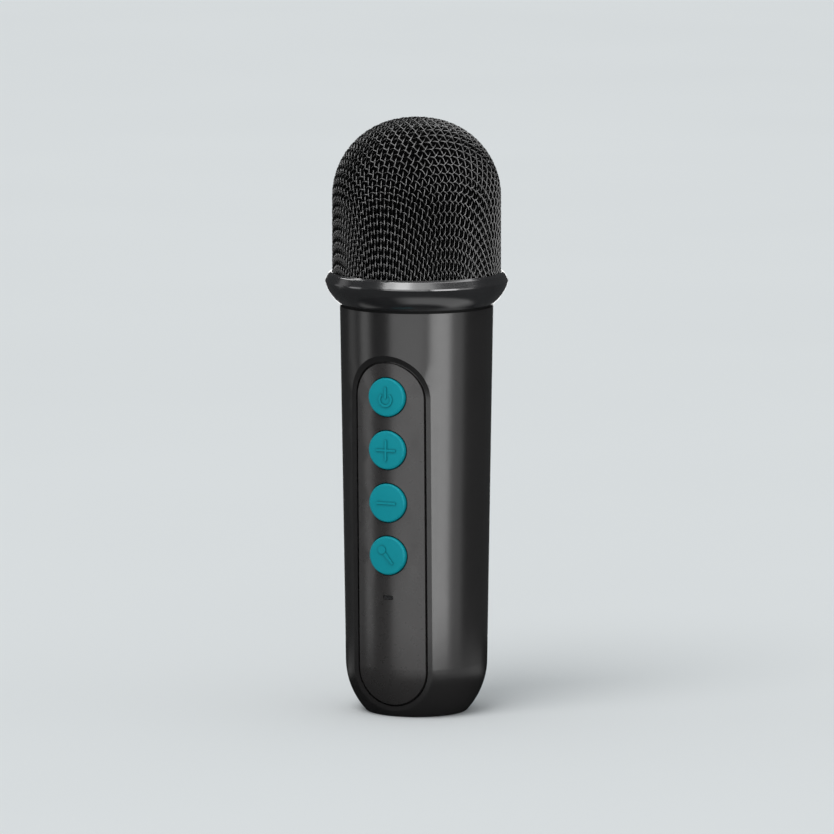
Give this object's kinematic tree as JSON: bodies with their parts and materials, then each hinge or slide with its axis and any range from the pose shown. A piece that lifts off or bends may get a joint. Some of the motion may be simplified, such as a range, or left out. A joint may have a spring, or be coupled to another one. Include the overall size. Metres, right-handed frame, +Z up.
{
  "type": "karaoke microphone",
  "caption": "Hand-held karaoke microphone with a domed wire grille on a screw-on collar, a tapered round handle, a front panel of push buttons and a charging port in the base.",
  "frame": {"origin": "centre of the flat foot, on the handle's axis", "axes": "+Z up the handle to the top of the grille, -Y out of the button panel, +X to the right of the buttons as one faces them"},
  "size_m": [0.0444, 0.0444, 0.145],
  "materials": {
    "shell": "satin moulded plastic",
    "panel": "satin moulded plastic",
    "button": "satin teal plastic",
    "collar": "polished black",
    "seal": "matt",
    "grille": "black-plated woven wire",
    "grille_band": "black-plated",
    "foam": "open-cell foam, matt black",
    "capsule_can": "satin",
    "felt": "matt black felt",
    "boot": "matt",
    "inner_plastic": "moulded, unpainted",
    "circuit_board": "green solder mask",
    "module": "tinned shield can",
    "chip": "moulded epoxy",
    "switch_case": "moulded",
    "plunger": "moulded",
    "contact": "tinned brass",
    "led": "white package",
    "light_pipe": "translucent",
    "port_metal": "nickel-plated",
    "port_plastic": "moulded",
    "cell": "blue heat-shrink sleeve",
    "red_wire": "silicone",
    "black_wire": "silicone",
    "white_wire": "silicone",
    "plug": "moulded nylon",
    "pad": "closed-cell foam",
    "screw": "zinc-plated"
  },
  "bodies": {
    "handle": {"body_shell": "shell", "front_panel": "panel", "chassis": "inner_plastic", "main_board": "circuit_board", "wireless_module": "module", "board_chips": "chip", "switch_terminals": "contact", "status_led": "led", "led_light_pipe": "light_pipe", "usb_port_shell": "port_metal", "usb_port_tongue": "port_plastic", "battery_cell": "cell", "battery_pad": "pad", "battery_lead_positive": "red_wire", "battery_lead_negative": "black_wire", "battery_socket": "plug", "battery_plug": "plug", "neck_ring": "inner_plastic", "neck_seal": "seal", "capsule": "capsule_can", "capsule_felt": "felt", "capsule_boot": "boot", "capsule_holder": "inner_plastic", "capsule_lead_signal": "white_wire", "capsule_lead_ground": "black_wire", "board_screws": "screw", "neck_screws": "screw", "holder_screws": "screw", "power_switch": "switch_case", "volume_up_switch": "switch_case", "volume_down_switch": "switch_case", "effect_switch": "switch_case"},
    "windscreen": {"foam_liner": "foam"},
    "head": {"collar_ring": "collar", "grille_mesh": "grille", "grille_rim": "grille_band"},
    "power_button": {"power_button": "button"},
    "power_plunger": {"power_switch_plunger": "plunger"},
    "volume_up_button": {"volume_up_button": "button"},
    "volume_up_plunger": {"volume_up_switch_plunger": "plunger"},
    "volume_down_button": {"volume_down_button": "button"},
    "volume_down_plunger": {"volume_down_switch_plunger": "plunger"},
    "effect_button": {"effect_button": "button"},
    "effect_plunger": {"effect_switch_plunger": "plunger"}
  },
  "joints": [
    {"name": "head_lift", "type": "slide", "parent": "handle", "child": "windscreen", "axis": [0, 0, 1], "range_m": [0, 0.004]},
    {"name": "head_turn", "type": "hinge", "parent": "windscreen", "child": "head", "pos_m": [0, 0, 0.1], "axis": [0, 0, 1], "range_deg": [0, 720]},
    {"name": "power_press", "type": "slide", "parent": "handle", "child": "power_button", "axis": [0, 1, 0], "range_m": [0, 0.0003], "stiffness_N_per_m": 2700, "springref_m": -0.0003},
    {"name": "power_plunger_press", "type": "slide", "parent": "handle", "child": "power_plunger", "axis": [0, 1, 0], "range_m": [0, 0.0003]},
    {"name": "volume_up_press", "type": "slide", "parent": "handle", "child": "volume_up_button", "axis": [0, 1, 0], "range_m": [0, 0.0003], "stiffness_N_per_m": 2700, "springref_m": -0.0003},
    {"name": "volume_up_plunger_press", "type": "slide", "parent": "handle", "child": "volume_up_plunger", "axis": [0, 1, 0], "range_m": [0, 0.0003]},
    {"name": "volume_down_press", "type": "slide", "parent": "handle", "child": "volume_down_button", "axis": [0, 1, 0], "range_m": [0, 0.0003], "stiffness_N_per_m": 2700, "springref_m": -0.0003},
    {"name": "volume_down_plunger_press", "type": "slide", "parent": "handle", "child": "volume_down_plunger", "axis": [0, 1, 0], "range_m": [0, 0.0003]},
    {"name": "effect_press", "type": "slide", "parent": "handle", "child": "effect_button", "axis": [0, 1, 0], "range_m": [0, 0.0003], "stiffness_N_per_m": 2700, "springref_m": -0.0003},
    {"name": "effect_plunger_press", "type": "slide", "parent": "handle", "child": "effect_plunger", "axis": [0, 1, 0], "range_m": [0, 0.0003]}
  ],
  "couplings": [
    {"joint": "head_lift", "follows": "head_turn", "m_per_rad": 0.00031831},
    {"joint": "power_plunger_press", "follows": "power_press", "ratio": 1},
    {"joint": "volume_up_plunger_press", "follows": "volume_up_press", "ratio": 1},
    {"joint": "volume_down_plunger_press", "follows": "volume_down_press", "ratio": 1},
    {"joint": "effect_plunger_press", "follows": "effect_press", "ratio": 1}
  ]
}
